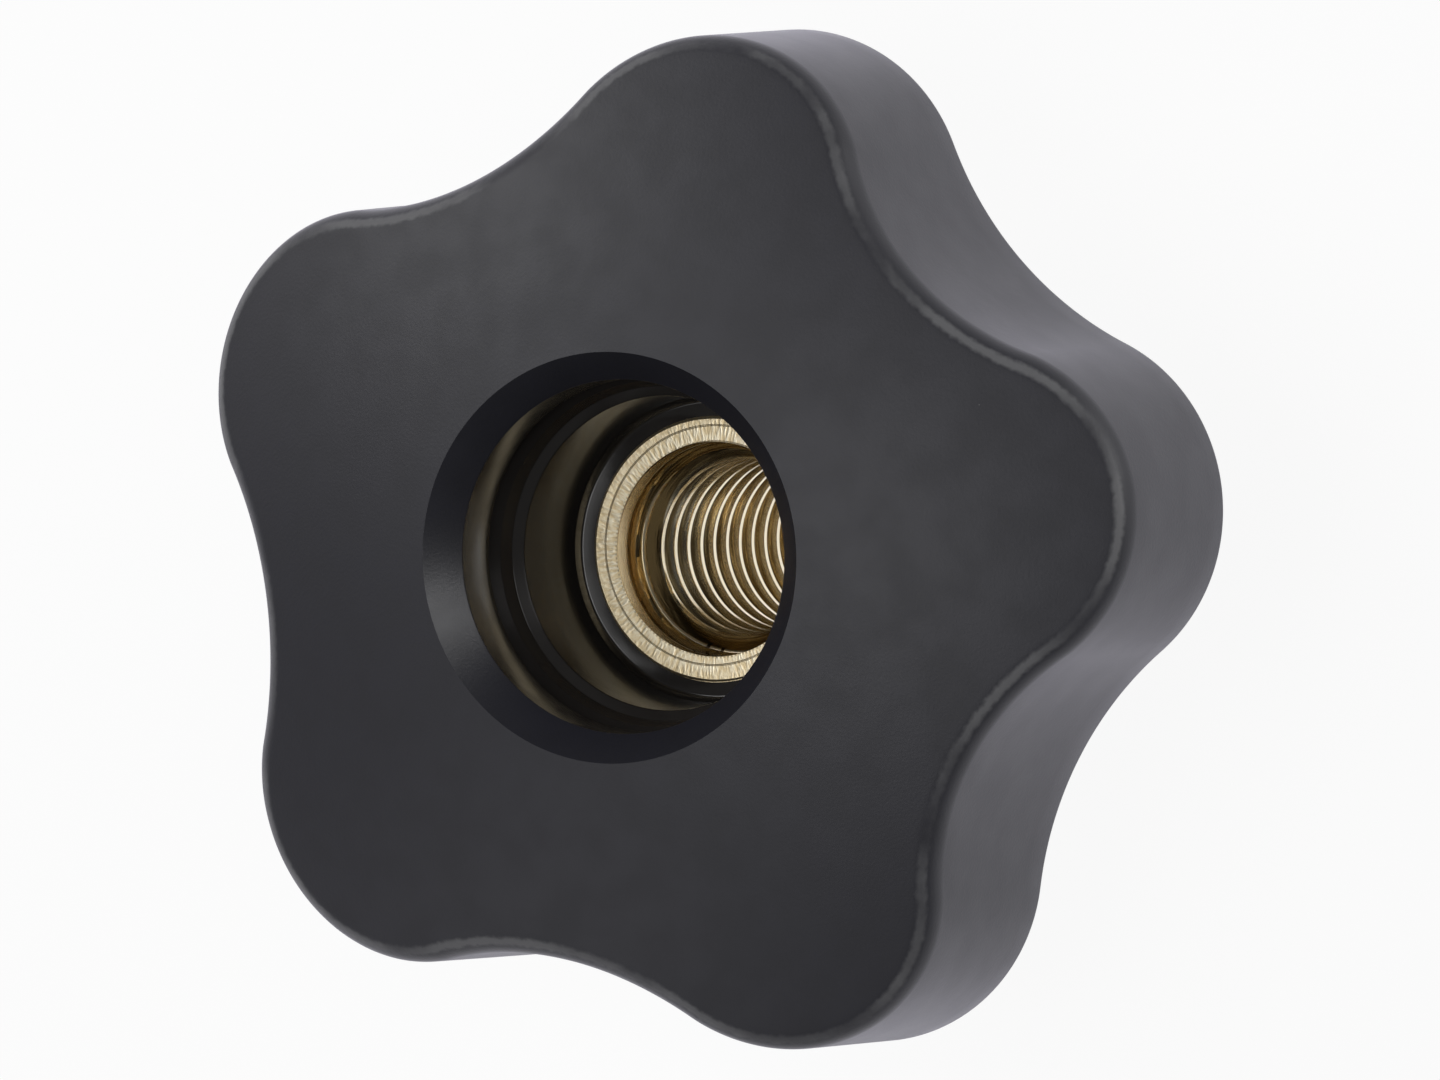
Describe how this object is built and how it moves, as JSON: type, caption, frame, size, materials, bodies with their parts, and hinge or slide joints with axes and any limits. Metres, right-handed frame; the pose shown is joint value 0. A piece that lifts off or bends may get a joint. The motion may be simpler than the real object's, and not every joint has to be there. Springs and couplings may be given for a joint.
{
  "type": "star knob",
  "caption": "Five-lobed moulded star knob with a domed grip, an open cap recess and a moulded-in brass insert threaded right through.",
  "frame": {"origin": "centre of the insert's seating face, on the thread axis", "axes": "+Z along the thread axis from the seating face towards the domed grip; one lobe points along +X"},
  "size_m": [0.0469, 0.0484, 0.032],
  "materials": {
    "body_plastic": "matte black, finely textured moulding",
    "insert_brass": "turned and tapped brass"
  },
  "bodies": {
    "root": {"knob_body": "body_plastic", "threaded_insert": "insert_brass"}
  },
  "joints": []
}
